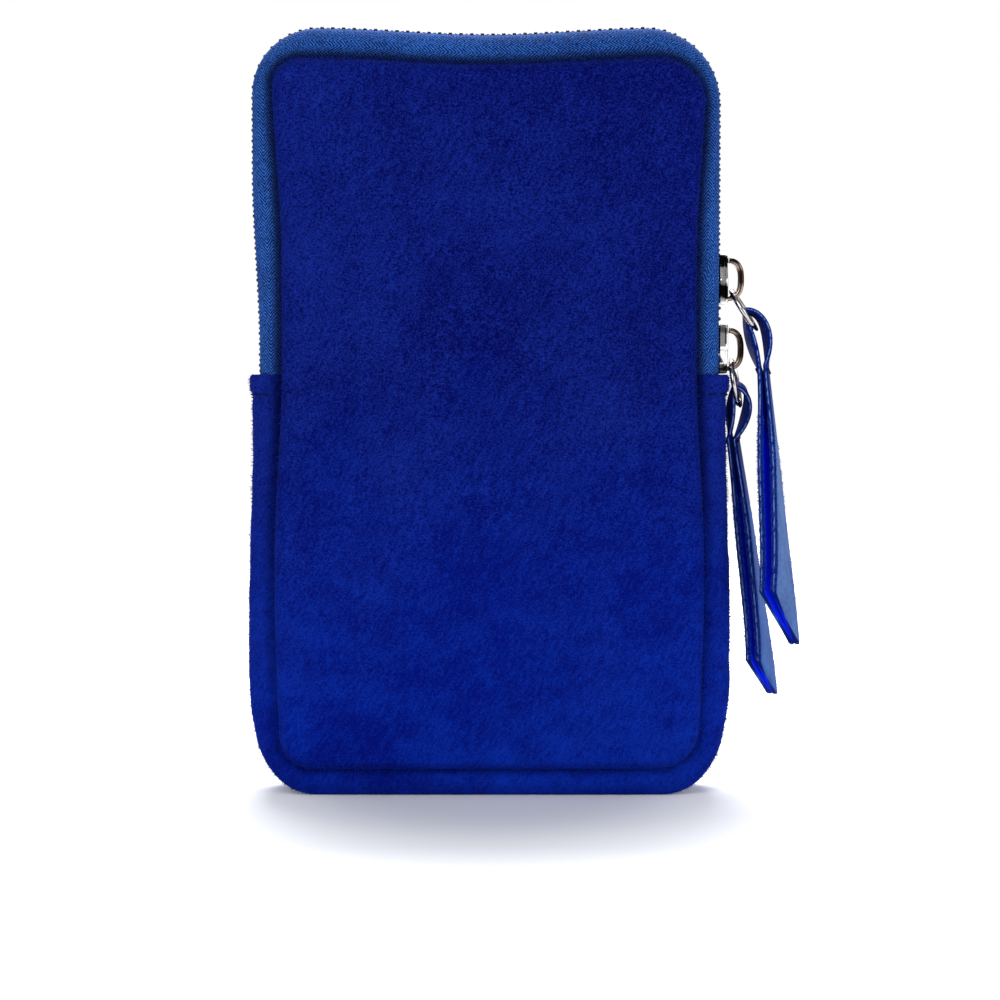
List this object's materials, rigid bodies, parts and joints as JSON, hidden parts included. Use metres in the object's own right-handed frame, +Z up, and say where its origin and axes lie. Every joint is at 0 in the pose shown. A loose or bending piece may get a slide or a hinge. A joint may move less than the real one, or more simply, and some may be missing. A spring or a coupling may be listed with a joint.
{
  "type": "crossbody pouch",
  "caption": "Upright suede crossbody pouch with crowned panels, an over-the-top zip with twin sliders and folded strip pulls, a hemmed gusset, and strap loops with D-rings behind.",
  "frame": {"origin": "middle of the flat base, at the height of the surface the pouch stands on", "axes": "+Z up, +X towards the side with the two zip sliders, +Y towards the rear panel with the strap loops"},
  "size_m": [0.1294, 0.0369, 0.18],
  "materials": {
    "suede": "cobalt blue suede, matt, with a fine nap",
    "zip_tape": "woven blue zip tape, matt",
    "zip_teeth": "dark navy, semi-matt",
    "dark_nickel": "polished dark nickel",
    "pull_suede": "blue suede strip with pale cut edges"
  },
  "bodies": {
    "pouch": {"front_panel": "suede", "rear_panel": "suede", "bottom_gusset": "suede", "zip_tape_front": "zip_tape", "zip_tape_rear": "zip_tape", "zip_teeth_front": "zip_teeth", "zip_teeth_rear": "zip_teeth", "zip_stop_left": "dark_nickel", "zip_stop_right": "dark_nickel", "strap_loop_left": "suede", "strap_loop_right": "suede"},
    "upper_slider": {"slider_upper": "dark_nickel"},
    "lower_slider": {"slider_lower": "dark_nickel"},
    "upper_ring": {"pull_ring_upper": "dark_nickel"},
    "lower_ring": {"pull_ring_lower": "dark_nickel"},
    "upper_tab": {"pull_tab_upper": "pull_suede"},
    "lower_tab": {"pull_tab_lower": "pull_suede"},
    "left_d_ring": {"d_ring_left": "dark_nickel"},
    "right_d_ring": {"d_ring_right": "dark_nickel"}
  },
  "joints": [
    {"name": "upper_slider_travel", "type": "slide", "parent": "pouch", "child": "upper_slider", "axis": [0, 0, 1], "range_m": [0, 0.038], "deforming": ["zip_teeth_front", "zip_teeth_rear"]},
    {"name": "lower_slider_travel", "type": "slide", "parent": "pouch", "child": "lower_slider", "axis": [0, 0, 1], "range_m": [0, 0.002], "deforming": ["zip_teeth_front", "zip_teeth_rear"]},
    {"name": "upper_ring_swing", "type": "hinge", "parent": "upper_slider", "child": "upper_ring", "pos_m": [0.0572, 0, 0.11795], "axis": [-0.1736, -0.9848, 0], "range_deg": [0, 90]},
    {"name": "lower_ring_swing", "type": "hinge", "parent": "lower_slider", "child": "lower_ring", "pos_m": [0.0572, 0, 0.10155], "axis": [-0.1736, -0.9848, 0], "range_deg": [0, 6]},
    {"name": "upper_tab_swing", "type": "hinge", "parent": "upper_ring", "child": "upper_tab", "pos_m": [0.06268, -0.00097, 0.10905], "axis": [-0.1736, -0.9848, 0], "range_deg": [0, 22]},
    {"name": "lower_tab_swing", "type": "hinge", "parent": "lower_ring", "child": "lower_tab", "pos_m": [0.059, -0.00032, 0.09121], "axis": [-0.1736, -0.9848, 0], "range_deg": [0, 8]},
    {"name": "left_d_ring_swing", "type": "hinge", "parent": "pouch", "child": "left_d_ring", "pos_m": [-0.032, 0.01692, 0.15515], "axis": [1, 0, 0], "range_deg": [0, 120]},
    {"name": "right_d_ring_swing", "type": "hinge", "parent": "pouch", "child": "right_d_ring", "pos_m": [0.032, 0.01692, 0.15515], "axis": [1, 0, 0], "range_deg": [0, 120]}
  ]
}
